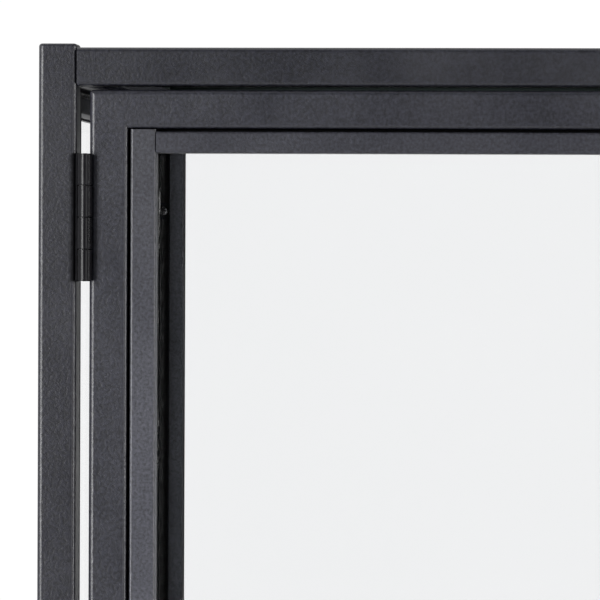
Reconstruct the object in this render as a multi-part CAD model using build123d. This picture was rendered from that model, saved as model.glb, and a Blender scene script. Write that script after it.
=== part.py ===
from build123d import *
import os

# A small free-standing glazed display case. A welded carcass of 15 mm square tube carries fixed panes in
# its two sides, back and top. A framed glass door hangs in the front opening on two butt hinges, with a clear
# gap all round, so its frame seems to float inside the outer frame.
#
# Millimetres, X to the right, Y to the back, +Z up. The pieces are laid out round the middle of the carcass.
# write() then moves each one back a little, so that the origin is on the ground under the middle of the
# whole object, knob included. The door is at the front, on -Y, and is hinged on the left.

# ---------------------------------------------------------------- driving dimensions
CASE_WIDTH = 410.0
CASE_DEPTH = 350.0
CASE_HEIGHT = 600.0
TUBE = 15.0  # side of the square tube
TUBE_WALL = 1.2
TUBE_RADIUS = 2.0  # outer corner radius of the tube
CAP_THICKNESS = 1.5  # post cap standing above the rails
GLIDE_THICKNESS = 3.0  # plastic foot under each post
LEG_HEIGHT = 43.0  # ground to the underside of the bottom rails
TOUCH = 0.1  # clearance between parts that sit loosely against each other

# Fixed panes: a flange on the outside, the pane, then a frame of square bar screwed on from the inside.
SIDE_CHANNEL = 5.0  # sealed channel between the tube and the glazing bar, where the screws are
END_CHANNEL = 3.5  # the same, along the two ends of a panel
BAR = 7.0
BAR_INSET = 1.0  # glazing bar behind the tube's inner face
BAR_RADIUS = 1.0
PANE = 3.0
FLANGE = 2.0
PANE_CLEARANCE = 1.0  # outer edge of the glazing bar to the edge of the pane
PANE_CHAMFER = 0.3
LUG_LENGTH = 8.0
LUG_THICKNESS = 2.0
LUG_SETBACK = 4.0  # glazing bar's inner face to the lug
GLAZING_SCREW_INSET = 47.0  # from the corner of the opening to the nearest screw
GLAZING_SCREW_RADIUS = 1.25
GLAZING_HEAD_RADIUS = 2.3
GLAZING_HEAD_HEIGHT = 1.8

# Door
HINGE_GAP = 5.2  # door to hinge post, filled by the hinge
LATCH_GAP = 2.5
DOOR_TOP_GAP = 1.6
DOOR_BOTTOM_GAP = 2.5
DOOR_CORNER_RADIUS = 1.5
BEAD_WIDTH = 10.0  # upright beads
BEAD_HEIGHT = 8.4  # level beads
BEAD_DEPTH = 10.0
BEAD_RADIUS = 1.0
BEAD_RECESS = 0.4  # bead behind the face of the door frame
BEAD_SIDE_GAP = 1.0
BEAD_LEVEL_GAP = 1.2
BEAD_END_GAP = 0.4
SEAL_THICKNESS = 1.5
SEAL_WIDTH = 7.5
DOOR_PANE_CLEARANCE = 1.5

# Hinges
HINGE_LENGTH = 50.0
KNUCKLES = 4
KNUCKLE_GAP = 0.25
KNUCKLE_CHAMFER = 0.2
BARREL_RADIUS = 2.75
LEAF_THICKNESS = 1.2
LEAF_WIDTH = 11.0
LEAF_CORNER = 2.0
PIN_RADIUS = 1.1
PIN_CHAMFER = 0.3
RUNNING_CLEARANCE = 0.05
TIGHT_CLEARANCE = 0.01
BARREL_PROUD = 1.8  # pin axis in front of the front faces
BARREL_OFFSET = 1.5  # pin axis to the door's side of the gap
HINGE_FROM_TOP = 68.0  # top of the case to the middle of the upper hinge
HINGE_SCREW_PITCH = 30.0
HINGE_SCREW_SETBACK = 7.0  # pin axis to the screws
HINGE_SCREW_RADIUS = 1.25
HINGE_HEAD_RADIUS = 2.2
HINGE_SCREW_LENGTH = 4.0  # beyond the leaf

# Knob and magnetic catch
KNOB_RADIUS = 8.0
KNOB_REACH = 20.0
KNOB_BASE_RADIUS = 5.0
KNOB_NECK_RADIUS = 3.0
KNOB_SCREW_RADIUS = 2.0
KNOB_SCREW_DEPTH = 7.0  # screw hole in the knob
CATCH_WIDTH = 11.0
CATCH_DEPTH = 11.0
CATCH_HEIGHT = 42.0
CATCH_GAP = 0.3
CATCH_SCREW_RADIUS = 1.25
CATCH_SCREW_INSET = 5.0  # end of the housing to its screw
CATCH_SCREW_SUNK = 2.0
CATCH_SCREW_GRIP = 3.0  # length in the glazing bar
MAGNET_HEIGHT = 22.0
MAGNET_DEPTH = 8.0
MAGNET_THICKNESS = 3.0
POLE_THICKNESS = 1.0
POLE_PROUD = 0.6  # pole plates in front of the magnet
STRIKE_THICKNESS = 0.8
STRIKE_WIDTH = 11.0
STRIKE_HEIGHT = 34.0

# Clips that hold the door pane from behind
CLIP_WIDTH = 12.0
CLIP_LENGTH = 20.0
CLIP_THICKNESS = 1.0
CLIP_SCREW_RADIUS = 1.5
CLIP_CORNER = 2.0
CLIP_OVERLAP = 7.0  # reach past the inside edge of the door's tube
CLIP_HEAD_RADIUS = 2.8
CLIP_HEAD_HEIGHT = 1.8
CLIP_FROM_CORNER = 60.0

# ---------------------------------------------------------------- derived places
half_width = CASE_WIDTH / 2
half_depth = CASE_DEPTH / 2
open_x = half_width - TUBE  # half width of the openings between posts
open_y = half_depth - TUBE
rail_top = CASE_HEIGHT - CAP_THICKNESS
open_top = rail_top - TUBE
open_bottom = LEG_HEIGHT + TUBE
open_height = open_top - open_bottom
open_middle = (open_top + open_bottom) / 2
front = -half_depth  # plane of the front faces

door_left = -open_x + HINGE_GAP
door_right = open_x - LATCH_GAP
door_top = open_top - DOOR_TOP_GAP
door_bottom = open_bottom + DOOR_BOTTOM_GAP
door_width = door_right - door_left
door_height = door_top - door_bottom
door_x = (door_left + door_right) / 2
door_z = (door_top + door_bottom) / 2
door_back = front + TUBE
sash_left = door_left + TUBE  # inside edges of the door's tubes
sash_right = door_right - TUBE
sash_top = door_top - TUBE
sash_bottom = door_bottom + TUBE
bead_front = front + BEAD_RECESS
bead_back = bead_front + BEAD_DEPTH

pin_x = door_left - BARREL_OFFSET
pin_y = front - BARREL_PROUD
upper_hinge = CASE_HEIGHT - HINGE_FROM_TOP
hinge_levels = {"upper": upper_hinge, "lower": 2 * door_z - upper_hinge}

# Along a panel's inside-to-outside axis, from the plane of the tubes' inner faces.
pane_front = BAR_INSET + BAR + TOUCH
flange_front = pane_front + PANE + TOUCH
lug_front = BAR_INSET + LUG_SETBACK

knob_x = door_right - TUBE / 2
origin_shift = KNOB_REACH / 2


# ---------------------------------------------------------------- small helpers
def write(name, *solids):
    """Writes one node, as one solid or as a group of separate solids, in the object's own frame."""
    placed = [Pos(0, origin_shift, 0) * solid for solid in solids]
    shape = placed[0] if len(placed) == 1 else Compound(children=placed)
    export_step(shape, f"parts/{name}.step")


def block(x0, x1, y0, y1, z0, z1):
    """A box from its limits along the three axes."""
    return Pos((x0 + x1) / 2, (y0 + y1) / 2, (z0 + z1) / 2) * Box(x1 - x0, y1 - y0, z1 - z0)


def tube(length):
    """Square tube with rounded corners, along Z and centred on the origin."""
    inner = TUBE - 2 * TUBE_WALL
    outline = RectangleRounded(TUBE, TUBE, TUBE_RADIUS)
    bore = RectangleRounded(inner, inner, TUBE_RADIUS - TUBE_WALL)
    return extrude(outline - bore, length / 2, both=True)


def tube_x(length):
    return Rot(0, 90, 0) * tube(length)


def tube_y(length):
    return Rot(90, 0, 0) * tube(length)


def rectangle_corners(left, right, low, high):
    """Corners in order round a rectangle, from its lower left."""
    return [(left, low), (right, low), (right, high), (left, high)]


def rod(radius, start, end):
    """Round rod between two points."""
    line = Edge.make_line(start, end)
    return extrude(Plane(origin=start, z_dir=line % 0) * Circle(radius), line.length)


def ring(width, height, outside, inside, start, depth):
    """Rectangular ring in a panel's own axes, from start along +Z.

    outside and inside are the (side, end) distances from the opening's edge to the ring's two outlines.
    """
    outline = Rectangle(width - 2 * outside[0], height - 2 * outside[1])
    hole = Rectangle(width - 2 * inside[0], height - 2 * inside[1])
    return Pos(0, 0, start) * extrude(outline - hole, depth)


def pan_screw(head_radius, head_height, shank_radius, shank_length):
    """Domed screw with a cross recess: its shank runs along +Z from the origin and its head is below."""
    dome = Pos(0, 0, -head_height) * Cylinder(
        head_radius, head_height, align=(Align.CENTER, Align.CENTER, Align.MIN)
    )
    dome = fillet(dome.edges().group_by(Axis.Z)[0], head_height * 0.75)
    slot_width = head_radius * 0.28
    slot = Box(head_radius * 1.1, slot_width, head_height)
    recess = Pos(0, 0, -head_height) * (slot + Rot(0, 0, 90) * slot)
    shank = Cylinder(shank_radius, shank_length, align=(Align.CENTER, Align.CENTER, Align.MIN))
    return dome - recess + shank


# ---------------------------------------------------------------- carcass
def post_places():
    """Name and centre line of each corner post."""
    x = half_width - TUBE / 2
    y = half_depth - TUBE / 2
    return {
        "front_left_post": (-x, -y),
        "front_right_post": (x, -y),
        "rear_left_post": (-x, y),
        "rear_right_post": (x, y),
    }


def make_posts():
    length = rail_top - GLIDE_THICKNESS
    for name, (x, y) in post_places().items():
        post = Pos(x, y, GLIDE_THICKNESS + length / 2) * tube(length)
        if name == "front_left_post":
            for level in hinge_levels.values():
                post -= hinge_screw_holes(level, -open_x - TUBE_WALL - 1, -open_x + 1)
        write(name, post)


def make_rails():
    across = 2 * open_x
    along = 2 * open_y
    side_x = half_width - TUBE / 2
    side_y = half_depth - TUBE / 2
    for level, z in {"top": open_top + TUBE / 2, "bottom": LEG_HEIGHT + TUBE / 2}.items():
        write(f"front_{level}_rail", Pos(0, -side_y, z) * tube_x(across))
        write(f"rear_{level}_rail", Pos(0, side_y, z) * tube_x(across))
        write(f"left_{level}_rail", Pos(-side_x, 0, z) * tube_y(along))
        write(f"right_{level}_rail", Pos(side_x, 0, z) * tube_y(along))


def end_plug(length):
    """The part of a cap or glide that goes inside a post, upwards from the origin."""
    side = TUBE - 2 * TUBE_WALL - 2 * TOUCH
    return extrude(RectangleRounded(side, side, TUBE_RADIUS - TUBE_WALL), length)


def make_post_caps():
    plug_length = 8.0
    plate = extrude(RectangleRounded(TUBE, TUBE, TUBE_RADIUS), CAP_THICKNESS)
    plate = fillet(plate.edges().group_by(Axis.Z)[-1], CAP_THICKNESS * 0.8)
    cap = plate + Pos(0, 0, -plug_length) * end_plug(plug_length)
    write("post_caps", *[Pos(x, y, rail_top) * cap for x, y in post_places().values()])


def make_foot_glides():
    plug_length = 10.0
    sole = extrude(RectangleRounded(TUBE, TUBE, TUBE_RADIUS), GLIDE_THICKNESS)
    sole = chamfer(sole.edges().group_by(Axis.Z)[0], 0.6)
    glide = sole + Pos(0, 0, GLIDE_THICKNESS) * end_plug(plug_length)
    write("foot_glides", *[Pos(x, y, 0) * glide for x, y in post_places().values()])


def make_base_panel():
    """Sheet floor welded between the bottom rails, just under their rounded top edges."""
    sheet = 1.5
    top = open_bottom - TUBE_RADIUS
    write("base_panel", block(-open_x, open_x, -open_y, open_y, top - sheet, top))


# ---------------------------------------------------------------- fixed panes
def panels():
    """Name, opening size and plane of each fixed pane. Each plane's Z runs from the inside to the outside."""
    across_x = 2 * open_x
    across_y = 2 * open_y
    along_x = (1, 0, 0)
    along_y = (0, 1, 0)
    left = Plane((-open_x, 0, open_middle), x_dir=along_y, z_dir=(-1, 0, 0))
    right = Plane((open_x, 0, open_middle), x_dir=along_y, z_dir=along_x)
    rear = Plane((0, open_y, open_middle), x_dir=along_x, z_dir=along_y)
    top = Plane((0, 0, open_top), x_dir=along_x, z_dir=(0, 0, 1))
    return {
        "left": (across_y, open_height, left),
        "right": (across_y, open_height, right),
        "rear": (across_x, open_height, rear),
        "top": (across_x, across_y, top),
    }


def screw_places(width, height):
    """Where a panel's screws are: two in each side channel, the same distance from the corners."""
    x = width / 2 - SIDE_CHANNEL / 2
    y = height / 2 - GLAZING_SCREW_INSET
    return [(side * x, end * y) for side in (-1, 1) for end in (-1, 1)]


def make_glazing_frame(width, height):
    """Frame of square bar, with a lug in the side channel for each screw."""
    outside = (SIDE_CHANNEL, END_CHANNEL)
    inside = (SIDE_CHANNEL + BAR, END_CHANNEL + BAR)
    frame = ring(width, height, outside, inside, BAR_INSET, BAR)
    frame = fillet(frame.edges().filter_by(Axis.Z, reverse=True), BAR_RADIUS)
    overlap = BAR_RADIUS  # the lug runs this far into the bar
    reach = SIDE_CHANNEL - TOUCH + overlap
    lug = Box(reach, LUG_LENGTH, LUG_THICKNESS, align=(Align.MIN, Align.CENTER, Align.MIN))
    for x, y in screw_places(width, height):
        side = 1 if x > 0 else -1
        start = width / 2 - TOUCH - reach
        place = Pos(start, y, lug_front) if side > 0 else Pos(-start - reach, y, lug_front)
        frame += place * lug
        frame -= Pos(x, y, 0) * Cylinder(GLAZING_SCREW_RADIUS + TOUCH, 4 * TUBE)
    return frame


def make_fixed_pane(side, width, height, plane):
    """Writes one panel's flange, pane, glazing frame and seal, and returns its screws."""
    places = screw_places(width, height)
    bar_edge = (SIDE_CHANNEL + BAR, END_CHANNEL + BAR)
    flange = ring(width, height, (0, 0), bar_edge, flange_front, FLANGE)
    seal_front = lug_front + LUG_THICKNESS
    seal_edge = (SIDE_CHANNEL, END_CHANNEL)
    seal = ring(width, height, (TOUCH, TOUCH), seal_edge, seal_front, flange_front - seal_front)
    for x, y in places:
        flange -= Pos(x, y, 0) * Cylinder(GLAZING_SCREW_RADIUS + TOUCH / 2, 4 * TUBE)
        seal -= Pos(x, y, 0) * Cylinder(GLAZING_SCREW_RADIUS + TOUCH, 4 * TUBE)
    frame = plane * make_glazing_frame(width, height)
    if side == "right":
        for z in catch_screw_levels():
            frame -= catch_screw_hole(z, CATCH_SCREW_RADIUS + TOUCH / 2)
    pane = Rectangle(
        width - 2 * (SIDE_CHANNEL + PANE_CLEARANCE),
        height - 2 * (END_CHANNEL + PANE_CLEARANCE),
    )
    pane = Pos(0, 0, pane_front) * extrude(pane, PANE)
    write(f"{side}_flange", plane * flange)
    write(f"{side}_glass", plane * chamfer(pane.edges(), PANE_CHAMFER))
    write(f"{side}_glazing_bars", frame)
    write(f"{side}_seal", plane * seal)
    length = flange_front + FLANGE - lug_front
    screw = pan_screw(GLAZING_HEAD_RADIUS, GLAZING_HEAD_HEIGHT, GLAZING_SCREW_RADIUS, length)
    return [plane * (Pos(x, y, lug_front) * screw) for x, y in places]


def make_fixed_panes():
    screws = []
    for side, (width, height, plane) in panels().items():
        screws += make_fixed_pane(side, width, height, plane)
    write("glazing_screws", *screws)


# ---------------------------------------------------------------- door
def clip_places():
    """Middle of each clip on the back of the door, and the direction that it reaches over the pane."""
    upright = [sash_top + TUBE - CLIP_FROM_CORNER, sash_bottom - TUBE + CLIP_FROM_CORNER]
    left = [(sash_left - TUBE / 2, z, (1, 0)) for z in upright]
    right = [(sash_right + TUBE / 2, z, (-1, 0)) for z in upright]
    return left + right + [(door_x, sash_top + TUBE / 2, (0, -1)), (door_x, sash_bottom - TUBE / 2, (0, 1))]


def clip_holes():
    reach = 2 * TUBE_WALL
    radius = CLIP_SCREW_RADIUS + TOUCH
    return [rod(radius, (x, door_back - reach, z), (x, door_back + reach, z)) for x, z, _ in clip_places()]


def make_door_frame():
    """Four lengths of tube, mitred at the corners, with the door's outline slightly rounded."""
    outline = Plane((door_x, front - 1, door_z), x_dir=(1, 0, 0), z_dir=(0, 1, 0)) * RectangleRounded(
        door_width, door_height, DOOR_CORNER_RADIUS
    )
    outline = extrude(outline, TUBE + 2)
    middle_y = front + TUBE / 2
    outer = rectangle_corners(door_left, door_right, door_bottom, door_top)
    inner = rectangle_corners(sash_left, sash_right, sash_bottom, sash_top)
    names = ["door_bottom_rail", "door_latch_stile", "door_top_rail", "door_hinge_stile"]
    half = TUBE / 2
    lengths = [
        Pos(door_x, middle_y, door_bottom + half) * tube_x(door_width),
        Pos(door_right - half, middle_y, door_z) * tube(door_height),
        Pos(door_x, middle_y, door_top - half) * tube_x(door_width),
        Pos(door_left + half, middle_y, door_z) * tube(door_height),
    ]
    for i, (name, length) in enumerate(zip(names, lengths)):
        after = (i + 1) % len(names)
        corners = [outer[i], outer[after], inner[after], inner[i]]
        mitre = Polygon(*[Vector(x, z) for x, z in corners], align=None)
        mitre = extrude(Plane.XZ * mitre, CASE_DEPTH, both=True)
        piece = length & mitre & outline
        for hole in clip_holes():
            piece -= hole
        if name == "door_hinge_stile":
            for level in hinge_levels.values():
                piece -= hinge_screw_holes(level, door_left - 1, door_left + TUBE_WALL + 1)
        if name == "door_latch_stile":
            piece -= knob_screw_hole()
        write(name, piece)


def make_door_beads():
    """Upright beads run the full height of the door's opening. Level beads fit between them."""
    left_end = sash_left + BEAD_SIDE_GAP
    right_end = sash_right - BEAD_SIDE_GAP
    low = sash_bottom + BEAD_END_GAP
    high = sash_top - BEAD_END_GAP
    left = block(left_end, left_end + BEAD_WIDTH, bead_front, bead_back, low, high)
    right = block(right_end - BEAD_WIDTH, right_end, bead_front, bead_back, low, high)
    inner_left = left_end + BEAD_WIDTH
    inner_right = right_end - BEAD_WIDTH
    top_edge = sash_top - BEAD_LEVEL_GAP
    bottom_edge = sash_bottom + BEAD_LEVEL_GAP
    top = block(inner_left, inner_right, bead_front, bead_back, top_edge - BEAD_HEIGHT, top_edge)
    bottom = block(inner_left, inner_right, bead_front, bead_back, bottom_edge, bottom_edge + BEAD_HEIGHT)
    for name, bead, axis in (
        ("door_left_bead", left, Axis.Z),
        ("door_right_bead", right, Axis.Z),
        ("door_top_bead", top, Axis.X),
        ("door_bottom_bead", bottom, Axis.X),
    ):
        write(name, fillet(bead.edges().filter_by(axis), BEAD_RADIUS))


def make_door_glazing():
    """The door's pane, on a foam seal behind the beads."""
    width = sash_right - sash_left
    height = sash_top - sash_bottom
    plane = Plane((door_x, bead_back, door_z), x_dir=(1, 0, 0), z_dir=(0, 1, 0))
    outside = (BEAD_SIDE_GAP, BEAD_LEVEL_GAP)
    inside = (BEAD_SIDE_GAP + SEAL_WIDTH, BEAD_LEVEL_GAP + SEAL_WIDTH)
    write("door_seal", plane * ring(width, height, outside, inside, 0, SEAL_THICKNESS))
    pane = extrude(Rectangle(width - 2 * DOOR_PANE_CLEARANCE, height - 2 * DOOR_PANE_CLEARANCE), PANE)
    pane = Pos(0, 0, SEAL_THICKNESS) * pane
    write("door_glass", plane * chamfer(pane.edges(), PANE_CHAMFER))


def make_clips():
    """Small plates on the back of the door that overlap the pane, with one screw each."""
    centre = TUBE / 2 + CLIP_OVERLAP - CLIP_LENGTH / 2
    plates = []
    screws = []
    length = CLIP_THICKNESS + 2 * TUBE_WALL
    screw = pan_screw(CLIP_HEAD_RADIUS, CLIP_HEAD_HEIGHT, CLIP_SCREW_RADIUS, length)
    for x, z, (dx, dz) in clip_places():
        size = (CLIP_LENGTH, CLIP_WIDTH) if dx else (CLIP_WIDTH, CLIP_LENGTH)
        plate = Pos(x + dx * centre, door_back, z + dz * centre) * Rot(-90, 0, 0) * extrude(
            RectangleRounded(*size, CLIP_CORNER), CLIP_THICKNESS
        )
        plate -= rod(CLIP_SCREW_RADIUS + TOUCH, (x, door_back - 1, z), (x, door_back + 3, z))
        plates.append(plate)
        outside = Plane((x, door_back + CLIP_THICKNESS, z), x_dir=(1, 0, 0), z_dir=(0, -1, 0))
        screws.append(outside * screw)
    write("glass_clips", *plates)
    write("clip_screws", *screws)


# ---------------------------------------------------------------- hinges
def hinge_screw_points(level):
    """The two screws of a leaf, as distance behind the front face and height."""
    y = pin_y + HINGE_SCREW_SETBACK
    return [(y, level + HINGE_SCREW_PITCH / 2), (y, level - HINGE_SCREW_PITCH / 2)]


def hinge_screw_holes(level, x0, x1):
    radius = HINGE_SCREW_RADIUS + TOUCH / 2
    holes = [rod(radius, (x0, y, z), (x1, y, z)) for y, z in hinge_screw_points(level)]
    return Compound(children=holes)


def leaf(level, outer_x, inner_x, first, bore):
    """One leaf: a plate on the side of its tube, and every second knuckle, counting from the top."""
    bottom = level - HINGE_LENGTH / 2
    pitch = HINGE_LENGTH / KNUCKLES
    back = pin_y + LEAF_WIDTH
    sides = sorted((outer_x, inner_x))
    plate = block(*sides, pin_y, back, bottom, bottom + HINGE_LENGTH)
    back_corners = plate.edges().filter_by(Axis.X).group_by(Axis.Y)[-1]
    plate = fillet(back_corners, LEAF_CORNER)
    half_gap = KNUCKLE_GAP / 2
    own = None
    for i in range(KNUCKLES):
        top = bottom + HINGE_LENGTH - i * pitch
        low = top - pitch
        if i % 2 == first:
            ends = (low + half_gap, top - half_gap)
            knuckle = rod(BARREL_RADIUS, (pin_x, pin_y, ends[0]), (pin_x, pin_y, ends[1]))
            knuckle = chamfer(knuckle.edges().filter_by(GeomType.CIRCLE), KNUCKLE_CHAMFER)
            web = block(*sorted((inner_x, pin_x)), pin_y, pin_y + LEAF_THICKNESS, *ends)
            own = knuckle + web if own is None else own + knuckle + web
        else:
            clear = BARREL_RADIUS + KNUCKLE_GAP
            plate -= rod(clear, (pin_x, pin_y, low - half_gap), (pin_x, pin_y, top + half_gap))
    shape = plate + own
    shape -= rod(bore, (pin_x, pin_y, bottom - 1), (pin_x, pin_y, bottom + HINGE_LENGTH + 1))
    for y, z in hinge_screw_points(level):
        shape -= countersunk(outer_x, inner_x, y, z, RUNNING_CLEARANCE, 0)
    return shape


def countersunk(outer_x, inner_x, y, z, grow, length):
    """Countersunk screw through a leaf, flush with inner_x, with its shank past outer_x by length."""
    side = 1 if outer_x > inner_x else -1
    head = HINGE_HEAD_RADIUS + grow
    shank = HINGE_SCREW_RADIUS + grow
    plane = Plane((inner_x, y, z), z_dir=(side, 0, 0))
    cone = Cone(head, shank, LEAF_THICKNESS, align=(Align.CENTER, Align.CENTER, Align.MIN))
    body = plane * cone
    if length:
        body += rod(shank, (outer_x, y, z), (outer_x + side * length, y, z))
    return body


def make_hinges():
    frame_faces = (-open_x, -open_x + LEAF_THICKNESS)
    door_faces = (door_left, door_left - LEAF_THICKNESS)
    frame_screws = []
    door_screws = []
    for name, level in hinge_levels.items():
        write(f"{name}_hinge_frame_leaf", leaf(level, *frame_faces, 0, PIN_RADIUS + TIGHT_CLEARANCE))
        write(f"{name}_hinge_door_leaf", leaf(level, *door_faces, 1, PIN_RADIUS + RUNNING_CLEARANCE))
        half = HINGE_LENGTH / 2
        pin = rod(PIN_RADIUS, (pin_x, pin_y, level - half), (pin_x, pin_y, level + half))
        write(f"{name}_hinge_pin", chamfer(pin.edges().filter_by(GeomType.CIRCLE), PIN_CHAMFER))
        for y, z in hinge_screw_points(level):
            frame_screws.append(countersunk(*frame_faces, y, z, 0, HINGE_SCREW_LENGTH))
            door_screws.append(countersunk(*door_faces, y, z, 0, HINGE_SCREW_LENGTH))
    write("hinge_frame_screws", *frame_screws)
    write("hinge_door_screws", *door_screws)


# ---------------------------------------------------------------- knob and catch
def knob_screw_hole():
    radius = KNOB_SCREW_RADIUS + TOUCH
    return rod(radius, (knob_x, front - 1, door_z), (knob_x, door_back + 1, door_z))


def make_knob():
    """A turned knob, with its screw put in from behind the stile."""
    foot_height = 1.5
    neck_start = 3.5
    neck_end = 7.0
    widest = KNOB_REACH - KNOB_RADIUS * 0.75
    neck = (KNOB_NECK_RADIUS, neck_end)
    side = Polyline(
        (0, 0),
        (KNOB_BASE_RADIUS, 0),
        (KNOB_BASE_RADIUS, foot_height),
        (KNOB_NECK_RADIUS, neck_start),
        neck,
    )
    head = Spline(neck, (KNOB_RADIUS, widest), (0, KNOB_REACH), tangents=[(1, 0.35), (-1, 0)])
    turned = revolve(Plane.XZ * make_face(side + head + Line((0, KNOB_REACH), (0, 0))), Axis.Z)
    up = (Align.CENTER, Align.CENTER, Align.MIN)
    turned -= Cylinder(KNOB_SCREW_RADIUS + TOUCH / 2, KNOB_SCREW_DEPTH, align=up)
    write("door_knob", Plane((knob_x, front, door_z), x_dir=(1, 0, 0), z_dir=(0, -1, 0)) * turned)
    head_radius = 3.8
    head_height = 0.7
    screw = pan_screw(head_radius, head_height, KNOB_SCREW_RADIUS, TUBE + KNOB_SCREW_DEPTH - 1.0)
    write("knob_screw", Plane((knob_x, door_back, door_z), x_dir=(1, 0, 0), z_dir=(0, -1, 0)) * screw)


def catch_screw_levels():
    reach = CATCH_HEIGHT / 2 - CATCH_SCREW_INSET
    return [door_z - reach, door_z + reach]


def catch_screw_hole(z, radius):
    """Hole across the catch and into the glazing bar behind it."""
    y = -open_y + SIDE_CHANNEL + BAR / 2
    end = open_x + BAR_INSET + CATCH_SCREW_GRIP + TOUCH
    return rod(radius, (open_x + BAR_INSET - CATCH_WIDTH - 1, y, z), (end, y, z))


def make_catch():
    """Magnetic catch on the right-hand glazing bar, facing a strike plate on the back of the door."""
    near = door_back + STRIKE_THICKNESS + CATCH_GAP
    right = open_x + BAR_INSET
    left = right - CATCH_WIDTH
    half = CATCH_HEIGHT / 2
    housing = block(left, right, near, near + CATCH_DEPTH, door_z - half, door_z + half)
    housing = fillet(housing.edges().filter_by(Axis.Z), 1.0)

    middle = (left + right) / 2
    magnet = MAGNET_THICKNESS / 2
    outer = magnet + POLE_THICKNESS
    low = door_z - MAGNET_HEIGHT / 2
    high = door_z + MAGNET_HEIGHT / 2
    back = near + MAGNET_DEPTH
    housing -= block(middle - outer, middle + outer, near - 1, back, low, high)
    inside = (back - TOUCH, low + TOUCH, high - TOUCH)
    write("catch_magnet", block(middle - magnet, middle + magnet, near + POLE_PROUD, *inside))
    write(
        "catch_pole_plates",
        block(middle - outer + TOUCH, middle - magnet, near, *inside),
        block(middle + magnet, middle + outer - TOUCH, near, *inside),
    )

    head_radius = 2.4
    head_height = 1.2
    y = -open_y + SIDE_CHANNEL + BAR / 2
    length = CATCH_WIDTH - CATCH_SCREW_SUNK + CATCH_SCREW_GRIP
    screw = pan_screw(head_radius, head_height, CATCH_SCREW_RADIUS, length)
    screws = []
    for z in catch_screw_levels():
        housing -= catch_screw_hole(z, CATCH_SCREW_RADIUS + TOUCH)
        housing -= rod(head_radius + TOUCH, (left - 1, y, z), (left + CATCH_SCREW_SUNK, y, z))
        screws.append(Plane((left + CATCH_SCREW_SUNK, y, z), z_dir=(1, 0, 0)) * screw)
    write("catch_housing", housing)
    write("catch_screws", *screws)


def make_strike_plate():
    """Thin steel plate on the back of the door, for the magnet, with a hole round the knob's screw head."""
    half_w = STRIKE_WIDTH / 2
    half_h = STRIKE_HEIGHT / 2
    back = door_back + STRIKE_THICKNESS
    strike = block(knob_x - half_w, knob_x + half_w, door_back, back, door_z - half_h, door_z + half_h)
    strike = fillet(strike.edges().filter_by(Axis.Y), 1.0)
    knob_head_hole = 4.2
    strike -= rod(knob_head_hole, (knob_x, door_back - 1, door_z), (knob_x, back + 1, door_z))
    write("strike_plate", strike)


os.makedirs("parts", exist_ok=True)
make_posts()
make_rails()
make_post_caps()
make_foot_glides()
make_base_panel()
make_fixed_panes()
make_door_frame()
make_door_beads()
make_door_glazing()
make_clips()
make_hinges()
make_knob()
make_catch()
make_strike_plate()
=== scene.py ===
"""Looks for a small glazed display case: powder-coated steel tube, clear panes and a black butt hinge."""

import math
from fnmatch import fnmatch

import bmesh
import bpy
from mathutils import Matrix, Vector, noise


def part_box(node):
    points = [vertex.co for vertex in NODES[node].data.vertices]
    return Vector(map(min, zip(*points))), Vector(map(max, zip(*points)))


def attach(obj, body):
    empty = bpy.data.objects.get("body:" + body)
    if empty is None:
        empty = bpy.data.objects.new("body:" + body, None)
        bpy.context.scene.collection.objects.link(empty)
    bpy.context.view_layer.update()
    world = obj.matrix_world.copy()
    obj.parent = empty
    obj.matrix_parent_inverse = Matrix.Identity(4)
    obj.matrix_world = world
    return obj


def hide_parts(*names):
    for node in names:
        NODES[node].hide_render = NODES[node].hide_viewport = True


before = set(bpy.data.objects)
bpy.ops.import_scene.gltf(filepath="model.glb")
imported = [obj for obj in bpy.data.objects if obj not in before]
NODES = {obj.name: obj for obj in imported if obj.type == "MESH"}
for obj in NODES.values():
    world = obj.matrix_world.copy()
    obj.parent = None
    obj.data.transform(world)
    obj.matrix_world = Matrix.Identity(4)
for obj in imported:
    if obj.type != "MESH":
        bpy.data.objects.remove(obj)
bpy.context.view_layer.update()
MM = 0.001
SIDE_CHANNEL = 4.9 * MM  # sealant widths of the fixed panes, as in the CAD
END_CHANNEL = 3.4 * MM
BEDDING = 8.7 * MM  # width of the sealant that beds the door's pane
# The darkening in narrow gaps is painted shade.
CREVICE = 4 * MM  # reach of the darkening in narrow gaps

# ---------------------------------------------------------------- camera and light, in metres
VIEW_DISTANCE = 1.65  # camera to the front faces
VIEW_DROP = 0.075  # camera below the top of the case
VIEW_WIDTH = 0.2340  # width seen at the front faces
LEFT_MARGIN = 0.0141  # edge of the view to the left of the case
TOP_MARGIN = 0.0171  # edge of the view above the case
VIEW_ROLL = 0.25  # degrees
SENSOR = 36.0  # millimetres
FRONT_LIGHT = 0.04  # strength of the studio behind the camera, against 1 behind the object
RIGHT_LIGHT = 0.35  # the same at the right

FLOOR_NEAR = 0.5  # from here the floor brightens
FLOOR_FAR = 3.2  # from here it is white

# ---------------------------------------------------------------- paint, linear colours
# One dark powder coat in copies of different brightness, as painted light: the door is lighter than the posts
# and rails, its beads lighter still, the upright ones most.
COAT_POST = (0.0080, 0.0082, 0.0128)
COAT_RAIL = (0.0088, 0.0092, 0.0138)
COAT_DOOR_LIT = (0.0135, 0.0139, 0.0198)
COAT_UPRIGHT_BEAD_LIT = (0.0370, 0.0378, 0.0475)
COAT_LEVEL_BEAD_LIT = (0.0184, 0.0189, 0.0255)
COAT_INSIDE = (0.0120, 0.0130, 0.0160)
PANE_TINT = (0.968, 0.970, 0.972)
PANE_EDGE = (0.012, 0.020, 0.018)
PANE_MIRROR = 0.008  # share reflected straight on
GRAZING_MIRROR = 0.10  # share reflected at the flattest angles


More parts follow.
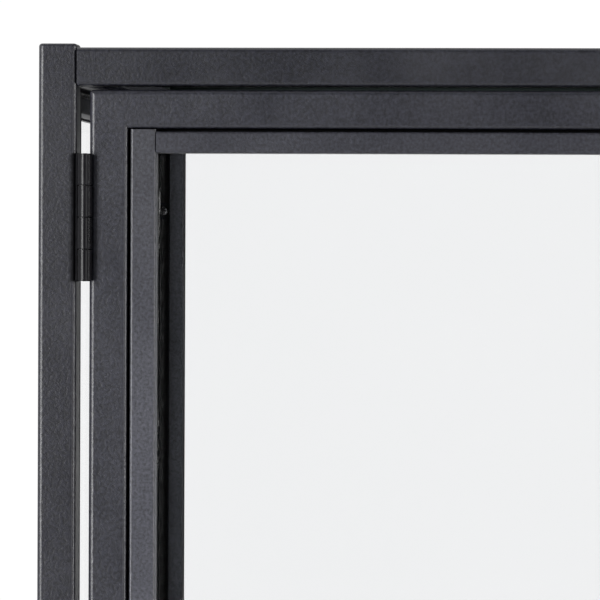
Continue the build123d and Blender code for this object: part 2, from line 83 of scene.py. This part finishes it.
# ---------------------------------------------------------------- node helpers
class Nodes:
    """Short names for building one material's node tree."""

    def __init__(self, name):
        self.material = bpy.data.materials.new(name)
        self.material.use_nodes = True
        self.tree = self.material.node_tree
        self.tree.nodes.clear()
        self.place = self.add("ShaderNodeTexCoord").outputs["Object"]

    def add(self, kind, settings=None, **inputs):
        node = self.tree.nodes.new(kind)
        for key, value in (settings or {}).items():
            setattr(node, key, value)
        for key, value in inputs.items():
            self.feed(node, key.replace("_", " "), value)
        return node

    def feed(self, node, key, value):
        """Sets an input by name or number, from a socket or from a plain value."""
        socket = node.inputs[key]
        if isinstance(value, bpy.types.NodeSocket):
            self.tree.links.new(value, socket)
        elif isinstance(value, tuple) and len(value) == 3 and socket.type == "RGBA":
            socket.default_value = (*value, 1.0)
        else:
            socket.default_value = value

    def noise(self, scale, detail=3.0, roughness=0.6):
        made = self.add("ShaderNodeTexNoise", Vector=self.place)
        for key, number in (("Scale", scale), ("Detail", detail), ("Roughness", roughness)):
            self.feed(made, key, number)
        return made.outputs["Fac"]

    def remap(self, value, low, high, to_low, to_high):
        made = self.add("ShaderNodeMapRange")
        for key, number in enumerate((value, low, high, to_low, to_high)):
            self.feed(made, key, number)
        return made.outputs["Result"]

    def math(self, operation, a, b=0.0):
        made = self.add("ShaderNodeMath", {"operation": operation})
        self.feed(made, 0, a)
        self.feed(made, 1, b)
        return made.outputs["Value"]

    def scaled(self, colour, factor):
        """A colour times a number."""
        made = self.add("ShaderNodeVectorMath", {"operation": "SCALE"})
        self.feed(made, 0, colour)
        self.feed(made, "Scale", factor)
        return made.outputs["Vector"]

    def dot(self, a, b):
        made = self.add("ShaderNodeVectorMath", {"operation": "DOT_PRODUCT"})
        self.feed(made, 0, a)
        self.feed(made, 1, b)
        return made.outputs["Value"]

    def mix_shader(self, factor, first, second):
        """A mix of two shader nodes: all first at 0 and all second at 1."""
        made = self.add("ShaderNodeMixShader")
        self.feed(made, 0, factor)
        self.tree.links.new(first.outputs[0], made.inputs[1])
        self.tree.links.new(second.outputs[0], made.inputs[2])
        return made

    def bump(self, height, distance, strength=1.0):
        made = self.add("ShaderNodeBump", Height=height, Distance=distance, Strength=strength)
        return made.outputs["Normal"]

    def finish(self, shader):
        out = self.add("ShaderNodeOutputMaterial")
        self.tree.links.new(shader, out.inputs["Surface"])
        return self.material


# ---------------------------------------------------------------- materials
def powder_coat(name, colour, black_mask=None, shade=None, gloss=(1.0, 1.0), rough=0.39, crevices=True):
    """Dark satin powder coat: fine orange-peel grain, slow changes of tone, and painted shade in crevices,
    where the tone is darkened and the satin coat gives way to a dull one.

    An optional mask function gives where the coat turns black, beside the hinges, and shade how much light
    the tone keeps. gloss is the share of satin coat against dull coat, first on faces that look down and then
    on the others;
    a share below 1 takes reflection out, as painted shade.
    """
    n = Nodes(name)
    fine = n.noise(820.0, 2.5, 0.6)
    broad = n.noise(38.0, 3.0, 0.5)
    speck = n.remap(fine, 0.34, 0.66, 0.54, 1.50)
    drift = n.remap(broad, 0.3, 0.7, 0.93, 1.08)
    # Painted shade: where ambient occlusion finds a crevice, the tone darkens and the satin reflection fades
    # out.
    openness = 1.0
    if crevices:
        openness = n.add("ShaderNodeAmbientOcclusion", {"samples": 6}, Distance=CREVICE).outputs["AO"]
    crevice_shade = n.remap(openness, 0.2, 0.85, 0.5, 1.0)
    if shade is not None:
        crevice_shade = n.math("MULTIPLY", crevice_shade, shade(n))
    tone = n.scaled(colour, n.math("MULTIPLY", n.math("MULTIPLY", speck, drift), crevice_shade))
    coat = n.add(
        "ShaderNodeBsdfPrincipled",
        Base_Color=tone,
        Roughness=n.remap(broad, 0.3, 0.7, rough - 0.04, rough + 0.04),
        Normal=n.bump(fine, 0.00013),
    )
    # Painted shade by facing: where the gloss share is below 1, the satin reflection gives way to the dull
    # coat.
    facing = n.add("ShaderNodeSeparateXYZ", Vector=n.add("ShaderNodeTexCoord").outputs["Normal"])
    satin = n.remap(facing.outputs["Z"], -0.7, -0.4, *gloss)
    dull = n.add("ShaderNodeBsdfDiffuse", Color=tone)
    coat = n.mix_shader(n.math("MULTIPLY", n.remap(openness, 0.2, 0.6, 0.0, 1.0), satin), dull, coat)
    if black_mask is None:
        return n.finish(coat.outputs["Shader"])
    black = n.add("ShaderNodeBsdfPrincipled", Base_Color=(0.003, 0.003, 0.004), Roughness=0.45)
    n.feed(black, "Specular IOR Level", 0.1)
    return n.finish(n.mix_shader(black_mask(n), coat, black).outputs["Shader"])


def black_beside_hinges(n):
    """1 on the corner of the hinge post beside each hinge, fading out over a millimetre or two."""
    split = n.add("ShaderNodeSeparateXYZ", Vector=n.place)
    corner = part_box("front_left_post")[1].x
    ragged = n.remap(n.noise(500.0, 2.0, 0.5), 0.3, 0.7, -0.25 * MM, 0.25 * MM)
    x = n.math("ADD", split.outputs["X"], ragged)
    across = n.remap(x, corner - 3.1 * MM, corner - 1.3 * MM, 0.0, 1.0)
    along = 0.0
    for hinge in ("upper", "lower"):
        low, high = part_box(f"{hinge}_hinge_frame_leaf")
        off = n.math("ABSOLUTE", n.math("SUBTRACT", split.outputs["Z"], (low.z + high.z) / 2))
        half = (high.z - low.z) / 2
        along = n.math("MAXIMUM", along, n.remap(off, half - 0.2 * MM, half + 0.4 * MM, 1.0, 0.0))
    return n.math("MULTIPLY", across, along)


def painted_shade_at_the_top(n):
    """Painted shade on the upright beads: their tone falls off over the last hundred millimetres."""
    split = n.add("ShaderNodeSeparateXYZ", Vector=n.place)
    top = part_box("door_left_bead")[1].z
    return n.remap(split.outputs["Z"], top - 0.11, top - 0.01, 1.0, 0.66)


def gloss_paint(name):
    """Semi-gloss black paint of the hinges and knob, with a faint ripple; its reflection is turned down on
    faces that look right, as painted shade.
    """
    n = Nodes(name)
    ripple = n.noise(420.0, 2.0, 0.5)
    smear = n.noise(90.0, 3.0, 0.6)
    shader = n.add(
        "ShaderNodeBsdfPrincipled",
        Base_Color=n.scaled((0.003, 0.003, 0.004), n.remap(smear, 0.3, 0.7, 0.8, 1.4)),
        Roughness=n.remap(smear, 0.3, 0.7, 0.26, 0.34),
        Normal=n.bump(ripple, 0.00006),
    )
    split = n.add("ShaderNodeSeparateXYZ", Vector=n.add("ShaderNodeTexCoord").outputs["Normal"])
    # Painted shade: less reflection on faces that turn to the right.
    n.feed(shader, "Specular IOR Level", n.remap(split.outputs["X"], 0.35, 0.7, 0.21, 0.05))
    return n.finish(shader.outputs["BSDF"])


def blackened_steel(name):
    """Blackened screws, a little worn and uneven."""
    n = Nodes(name)
    patch = n.noise(700.0, 3.0, 0.6)
    shader = n.add(
        "ShaderNodeBsdfPrincipled",
        Base_Color=n.scaled((0.16, 0.16, 0.165), n.remap(patch, 0.3, 0.7, 0.5, 1.5)),
        Metallic=0.85,
        Roughness=n.remap(patch, 0.3, 0.7, 0.16, 0.32),
        Normal=n.bump(patch, 0.00004),
    )
    return n.finish(shader.outputs["BSDF"])


def bright_steel(name):
    """Zinc-plated steel of the catch, brushed along the height."""
    n = Nodes(name)
    stretch = n.add("ShaderNodeMapping", Vector=n.place, Scale=(4000.0, 4000.0, 60.0)).outputs["Vector"]
    lines = n.add("ShaderNodeTexNoise", Vector=stretch, Scale=1.0, Detail=2.0).outputs["Fac"]
    shader = n.add(
        "ShaderNodeBsdfPrincipled",
        Base_Color=n.scaled((0.58, 0.585, 0.59), n.remap(lines, 0.3, 0.7, 0.85, 1.08)),
        Metallic=1.0,
        Roughness=n.remap(lines, 0.3, 0.7, 0.26, 0.42),
        Normal=n.bump(lines, 0.00002),
    )
    return n.finish(shader.outputs["BSDF"])


def black_plastic(name):
    """Moulded black plastic with a fine spark-eroded grain."""
    n = Nodes(name)
    grain = n.noise(1800.0, 2.0, 0.6)
    shader = n.add(
        "ShaderNodeBsdfPrincipled",
        Base_Color=n.scaled((0.016, 0.016, 0.017), n.remap(grain, 0.3, 0.7, 0.85, 1.2)),
        Roughness=n.remap(grain, 0.3, 0.7, 0.5, 0.64),
        Normal=n.bump(grain, 0.00005),
    )
    return n.finish(shader.outputs["BSDF"])


def sealant(name, shiny=0.28):
    """Black sealant, matte with skinned-over patches of the given roughness."""
    n = Nodes(name)
    skin = n.noise(260.0, 4.0, 0.65)
    shader = n.add(
        "ShaderNodeBsdfPrincipled",
        Base_Color=n.scaled((0.009, 0.009, 0.0095), n.remap(skin, 0.3, 0.7, 0.7, 1.6)),
        Roughness=n.remap(skin, 0.38, 0.62, 0.62, shiny),
        Normal=n.bump(skin, 0.0003),
    )
    return n.finish(shader.outputs["BSDF"])


def pane_glass(name, axis, grazing_mirror):
    """Clear low-reflection glass: faintly tinted under a weak sharp reflection, with dark edges."""
    n = Nodes(name)
    geometry = n.add("ShaderNodeNewGeometry")
    across = n.dot(geometry.outputs["True Normal"], axis)
    face = n.math("GREATER_THAN", n.math("ABSOLUTE", across), 0.9)
    smear = n.noise(9.0, 4.0, 0.55)
    tint = n.scaled(PANE_TINT, n.remap(smear, 0.3, 0.7, 0.997, 1.0))
    clear = n.add("ShaderNodeBsdfTransparent", Color=tint)
    rough = n.remap(smear, 0.3, 0.7, 0.0, 0.02)
    mirror = n.add("ShaderNodeBsdfGlossy", Color=(1.0, 1.0, 1.0), Roughness=rough)
    facing = n.math("ABSOLUTE", n.dot(geometry.outputs["Incoming"], geometry.outputs["Normal"]))
    grazing = n.math("POWER", n.math("SUBTRACT", 1.0, facing), 5.0)
    sheet = n.mix_shader(n.remap(grazing, 0.0, 1.0, PANE_MIRROR, grazing_mirror), clear, mirror)
    edge = n.add("ShaderNodeBsdfPrincipled", Base_Color=PANE_EDGE, Roughness=0.3)
    return n.finish(n.mix_shader(face, edge, sheet).outputs["Shader"])


def floor_material(name):
    """Plain pale floor with the faintest mottle, which brightens to white well away from the object.

    As light it is dim in front, like a studio that is dark behind the camera.
    """
    n = Nodes(name)
    mottle = n.remap(n.noise(3.0, 3.0, 0.5), 0.3, 0.7, 0.985, 1.0)
    path = n.add("ShaderNodeLightPath")
    split = n.add("ShaderNodeSeparateXYZ", Vector=n.place)
    dim = n.remap(split.outputs["Y"], -1.4, -0.35, 0.05, 1.0)
    shade = n.math("MAXIMUM", dim, path.outputs["Is Camera Ray"])
    pale = n.add(
        "ShaderNodeBsdfPrincipled",
        Base_Color=n.scaled((0.90, 0.90, 0.905), n.math("MULTIPLY", mottle, shade)),
        Roughness=0.75,
    )
    white = n.add("ShaderNodeEmission", Color=(1.0, 1.0, 1.0), Strength=1.02)
    distance = n.add("ShaderNodeVectorMath", {"operation": "LENGTH"})
    n.feed(distance, 0, n.place)
    away = n.add("ShaderNodeMapRange", {"interpolation_type": "SMOOTHSTEP"})
    for key, value in enumerate((distance.outputs["Value"], FLOOR_NEAR, FLOOR_FAR, 0.0, 1.0)):
        n.feed(away, key, value)
    whiteness = n.math("MULTIPLY", away.outputs["Result"], path.outputs["Is Camera Ray"])
    return n.finish(n.mix_shader(whiteness, pale, white).outputs["Shader"])


def give(node, material):
    """Puts a material in every slot of a CAD node."""
    slots = NODES[node].data.materials
    slots.clear()
    slots.append(material)


def paint_everything():
    post = powder_coat("post_coat", COAT_POST)
    hinge_post = powder_coat("hinge_post_coat", COAT_POST, black_beside_hinges)
    rail = powder_coat("rail_coat", COAT_RAIL)
    door = powder_coat("door_coat", COAT_DOOR_LIT)
    upright = powder_coat("upright_bead_coat", COAT_UPRIGHT_BEAD_LIT, shade=painted_shade_at_the_top)
    level = powder_coat("level_bead_coat", COAT_LEVEL_BEAD_LIT)
    # Painted shade: the inside parts and side rails keep full reflection only on their undersides, and the
    # top glazing bars lose it there too.
    inside = powder_coat("glazing_coat", COAT_INSIDE, gloss=(1.0, 0.3), crevices=False)
    ceiling = powder_coat("top_glazing_coat", COAT_INSIDE, gloss=(0.0, 0.3))
    flange = powder_coat("flange_coat", COAT_INSIDE, rough=0.2, crevices=False)
    side_rail = powder_coat("side_rail_coat", COAT_RAIL, gloss=(1.0, 0.4), crevices=False)
    gloss = gloss_paint("gloss_black")
    screw = blackened_steel("blackened_steel")
    steel = bright_steel("bright_steel")
    plastic = black_plastic("black_plastic")
    seal = sealant("black_sealant")
    paints = [
        (("door_left_bead", "door_right_bead"), upright),
        (("door_top_bead", "door_bottom_bead"), level),
        (("*_stile", "door_top_rail", "door_bottom_rail"), door),
        (("front_left_post",), hinge_post),
        (("*_post", "post_caps"), post),
        (("left_*_rail", "right_*_rail", "rear_*_rail"), side_rail),
        (("*_rail", "base_panel"), rail),
        (("top_glazing_bars", "top_flange"), ceiling),
        (("*_flange",), flange),
        (("*_glazing_bars",), inside),
        (("*_screws", "knob_screw", "glass_clips"), screw),
        (("*hinge*", "door_knob"), gloss),
        (("catch_magnet", "catch_pole_plates", "strike_plate"), steel),
        (("*_seal",), seal),
        (("*",), plastic),
    ]
    directions = {
        "door_glass": (0.0, 1.0, 0.0),
        "rear_glass": (0.0, 1.0, 0.0),
        "left_glass": (1.0, 0.0, 0.0),
        "right_glass": (1.0, 0.0, 0.0),
        "top_glass": (0.0, 0.0, 1.0),
    }
    for node in NODES:
        if node in directions:
            grazing_mirror = 0.0 if node == "top_glass" else GRAZING_MIRROR
            give(node, pane_glass(f"{node}_clear", directions[node], grazing_mirror))
        else:
            give(node, next(paint for patterns, paint in paints if any(fnmatch(node, p) for p in patterns)))


# ---------------------------------------------------------------- hand-laid sealant
def around_rectangle(half_a, half_b, margin, step):
    """Points round a rectangle, as (a, b, inward a, inward b). Corners point inward along the diagonal."""
    corners = [(-1, -1), (1, -1), (1, 1), (-1, 1)]
    points = []
    for (a0, b0), (a1, b1) in zip(corners, corners[1:] + corners[:1]):
        points.append((a0 * half_a, b0 * half_b, -a0, -b0))
        level = b0 == b1
        length = 2 * (half_a if level else half_b)
        count = max(2, round((length - 2 * margin) / step))
        inward = (0, -b0) if level else (-a0, 0)
        for i in range(count + 1):
            t = (margin + (length - 2 * margin) * i / count) / length
            a = (a0 + (a1 - a0) * t) * half_a
            b = (b0 + (b1 - b0) * t) * half_b
            points.append((a, b, *inward))
    return points


def sweep_ring(name, body, material, centre, axes, half, widths, profile, step, margin=7 * MM):
    """A closed bead round a rectangle.

    axes are the rectangle's across, up and facing directions, and half its half sizes. profile(place) gives
    the cross-section as (u, v) pairs: u runs inward, in units of widths, and v along the facing direction.
    Straight samples start at margin from a corner, clear of the mitre.
    """
    across, up, facing = axes
    mesh = bpy.data.meshes.new(name)
    shape = bmesh.new()
    loops = []
    for a, b, in_a, in_b in around_rectangle(*half, margin, step):
        place = centre + across * a + up * b
        inward = across * (in_a * widths[0]) + up * (in_b * widths[1])
        loops.append([shape.verts.new(place + inward * u + facing * v) for u, v in profile(place)])
    for one, two in zip(loops, loops[1:] + loops[:1]):
        for i in range(len(one)):
            j = (i + 1) % len(one)
            shape.faces.new((one[i], one[j], two[j], two[i]))
    bmesh.ops.recalc_face_normals(shape, faces=shape.faces)
    for face in shape.faces:
        face.smooth = True
    shape.to_mesh(mesh)
    shape.free()
    mesh.materials.append(material)
    ring = bpy.data.objects.new(name, mesh)
    bpy.context.scene.collection.objects.link(ring)
    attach(ring, body)
    return ring


def lumps(place, size, seed):
    """Smooth noise from about -1 to 1, in lumps of the given size."""
    return noise.noise(place / size + Vector((seed, 0.0, 0.0)))


def channel_profile(depth, seed):
    """Sealant in a channel: flat at the back, hollowed and lumpy in front."""
    def profile(place):
        points = [(0.0, 0.0)]
        for i in range(7):
            u = i / 6
            hollow = 1.1 * MM * math.sin(math.pi * u)
            ripple = 0.45 * MM * lumps(place + Vector((u, u, u)) * 2 * MM, 5 * MM, seed)
            ripple += 0.25 * MM * lumps(place, 1.6 * MM, seed + i)
            points.append((u, depth - 0.5 * MM - hollow + ripple))
        points.append((1.0, 0.0))
        return points
    return profile


def lay_channel_sealant(material):
    """Replaces the plain sealant of each fixed pane by a hand-laid bead in the same channel."""
    x = Vector((1, 0, 0))
    y = Vector((0, 1, 0))
    z = Vector((0, 0, 1))
    sides = {"left": (y, z, x), "right": (y, z, -x), "rear": (x, z, -y), "top": (x, y, -z)}
    for seed, (side, (across, up, facing)) in enumerate(sides.items()):
        low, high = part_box(f"{side}_seal")
        size = high - low
        depth = abs(size.dot(facing))
        centre = (low + high) / 2 - facing * (depth / 2)
        half = (abs(size.dot(across)) / 2, abs(size.dot(up)) / 2)
        ring = sweep_ring(
            f"{side}_sealant",
            "carcass",
            material,
            centre,
            (across, up, facing),
            half,
            (SIDE_CHANNEL, END_CHANNEL),
            channel_profile(depth, 10.0 * seed),
            2.0 * MM,
        )
        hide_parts(f"{side}_seal")


def squeezed_profile(low, high):
    """Sealant squeezed out between an upright bead and the pane: thin, with a few swollen places.

    It is thickest a little way from either end, and does not swell right at the ends.
    """
    thickest = 18 * MM
    thick_reach = 8 * MM
    thin_end = 4 * MM

    def profile(place):
        from_end = min(place.z - low, high - place.z)
        thick = math.exp(-((from_end - thickest) / thick_reach) ** 2)
        swell = 0.9 * thick + 0.8 * lumps(place, 14 * MM, 3.0) + 0.6 * lumps(place, 3 * MM, 7.0) - 0.1
        swell = min(1.0, max(0.0, swell)) if from_end > thin_end else 0.0
        width = (0.05 + 0.9 * swell) * MM
        height = (0.15 + 0.9 * swell) * MM
        points = [(-0.2 * MM, 0.0), (-0.2 * MM, height)]
        for i in range(6):
            angle = math.pi / 2 * (1 - i / 5)
            points.append((width * math.cos(angle), height * math.sin(angle)))
        return points
    return profile


def bedding_profile(place):
    """Sealant that beds the door's pane: in front of its edge, and down the slot between it and the tube."""
    ripple = 0.25 * MM * lumps(place, 3 * MM, 5.0)
    slot = 1.4 * MM
    slot_end = -2.6 * MM
    at_tube = 0.9 * MM
    full = 1.45 * MM
    return [
        (0.0, slot_end),
        (0.0, at_tube + ripple),
        (slot, full),
        (BEDDING, full),
        (BEDDING, 0.0),
        (slot, 0.0),
        (slot, slot_end),
    ]


def lay_round_door_pane(name, material, members, profile, step, margin=7 * MM):
    """A bead on the face of the door's pane, along the left, right, top and bottom members round it."""
    axes = (Vector((1, 0, 0)), Vector((0, 0, 1)), Vector((0, -1, 0)))
    left, right, top, bottom = (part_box(member) for member in members)
    low = Vector((left[1].x, 0, bottom[1].z))
    high = Vector((right[0].x, 0, top[0].z))
    centre = (low + high) / 2
    centre.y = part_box("door_glass")[0].y
    half = ((high.x - low.x) / 2, (high.z - low.z) / 2)
    return sweep_ring(name, "door", material, centre, axes, half, (1.0, 1.0), profile, step, margin)


def lay_door_sealant(material, squeezed):
    """The sealant round the door's pane, and the little of it that was squeezed out past the beads."""
    tubes = ("door_hinge_stile", "door_latch_stile", "door_top_rail", "door_bottom_rail")
    bedding = lay_round_door_pane(
        "door_bedding_sealant", material, tubes, bedding_profile, 3 * MM, 12 * MM
    )
    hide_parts("door_seal")
    beads = ("door_left_bead", "door_right_bead", "door_top_bead", "door_bottom_bead")
    profile = squeezed_profile(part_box(beads[3])[1].z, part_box(beads[2])[0].z)
    lay_round_door_pane("door_squeezed_sealant", squeezed, beads, profile, 1.2 * MM)


# ---------------------------------------------------------------- floor, light and camera
def make_floor():
    size = 60.0
    mesh = bpy.data.meshes.new("floor")
    shape = bmesh.new()
    bmesh.ops.create_grid(shape, x_segments=1, y_segments=1, size=size / 2)
    shape.to_mesh(mesh)
    shape.free()
    floor = bpy.data.objects.new("floor", mesh)
    mesh.materials.append(floor_material("pale_floor"))
    bpy.context.scene.collection.objects.link(floor)


def make_world():
    """White to the camera. As light it is white at the left and behind, weaker right, dark in front."""
    world = bpy.data.worlds.new("studio")
    bpy.context.scene.world = world
    world.use_nodes = True
    tree = world.node_tree
    tree.nodes.clear()
    split = tree.nodes.new("ShaderNodeSeparateXYZ")
    tree.links.new(tree.nodes.new("ShaderNodeTexCoord").outputs["Generated"], split.inputs["Vector"])

    def ramp(axis, low, high, to_low, to_high):
        made = tree.nodes.new("ShaderNodeMapRange")
        made.interpolation_type = "SMOOTHSTEP"
        tree.links.new(split.outputs[axis], made.inputs["Value"])
        for key, value in enumerate((low, high, to_low, to_high), start=1):
            made.inputs[key].default_value = value
        return made.outputs["Result"]

    strength = tree.nodes.new("ShaderNodeMath")
    strength.operation = "MULTIPLY"
    tree.links.new(ramp("X", -0.10, 0.12, 1.0, RIGHT_LIGHT), strength.inputs[0])
    tree.links.new(ramp("Y", -0.75, -0.15, FRONT_LIGHT, 1.0), strength.inputs[1])
    light = tree.nodes.new("ShaderNodeBackground")
    light.inputs["Color"].default_value = (1.0, 1.0, 1.0, 1.0)
    tree.links.new(strength.outputs["Value"], light.inputs["Strength"])
    seen = tree.nodes.new("ShaderNodeBackground")
    seen.inputs["Color"].default_value = (1.0, 1.0, 1.0, 1.0)
    seen.inputs["Strength"].default_value = 1.02
    mix = tree.nodes.new("ShaderNodeMixShader")
    tree.links.new(tree.nodes.new("ShaderNodeLightPath").outputs["Is Camera Ray"], mix.inputs["Fac"])
    tree.links.new(light.outputs["Background"], mix.inputs[1])
    tree.links.new(seen.outputs["Background"], mix.inputs[2])
    out = tree.nodes.new("ShaderNodeOutputWorld")
    tree.links.new(mix.outputs["Shader"], out.inputs["Surface"])


def soft_light(name, place, target, size, power):
    data = bpy.data.lights.new(name, "AREA")
    data.shape = "RECTANGLE"
    data.size, data.size_y = size
    data.energy = power
    light = bpy.data.objects.new(name, data)
    light.location = place
    light.rotation_euler = (Vector(target) - Vector(place)).to_track_quat("-Z", "Y").to_euler()
    bpy.context.scene.collection.objects.link(light)


def make_lights():
    """The key and the strip lie where their reflections run down the left and right edges of the uprights."""
    middle = (0.0, 0.0, 0.35)
    left_edge = (-0.19, -0.17, 0.5)
    soft_light("key", (-1.20, -1.38, 0.5), left_edge, (0.5, 1.5), 47.0)
    soft_light("fill", (1.0, -2.2, 0.6), left_edge, (0.9, 1.4), 13.0)
    soft_light("strip", (1.77, -0.59, 0.5), left_edge, (0.3, 1.5), 26.0)
    soft_light("top", (0.0, 0.2, 2.4), middle, (1.6, 1.6), 6.0)


def make_camera():
    post_low, post_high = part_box("front_left_post")
    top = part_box("post_caps")[1].z
    front = post_low.y
    place = Vector((0.0, front - VIEW_DISTANCE, top - VIEW_DROP))
    aim = Vector((
        post_low.x + VIEW_WIDTH / 2 - LEFT_MARGIN,
        front,
        top + TOP_MARGIN - VIEW_WIDTH / 2,
    ))
    data = bpy.data.cameras.new("camera")
    data.sensor_width = SENSOR
    data.lens = SENSOR * (aim - place).length / VIEW_WIDTH
    data.clip_end = 100.0
    camera = bpy.data.objects.new("camera", data)
    turn = (aim - place).to_track_quat("-Z", "Y").to_matrix().to_4x4()
    camera.matrix_world = Matrix.Translation(place) @ turn @ Matrix.Rotation(math.radians(VIEW_ROLL), 4, "Z")
    bpy.context.scene.collection.objects.link(camera)
    bpy.context.scene.camera = camera


seal = sealant("laid_sealant")
paint_everything()
lay_channel_sealant(seal)
lay_door_sealant(seal, sealant("squeezed_sealant", 0.10))
make_floor()
make_world()
make_lights()
make_camera()
bpy.context.scene.view_settings.view_transform = "Standard"
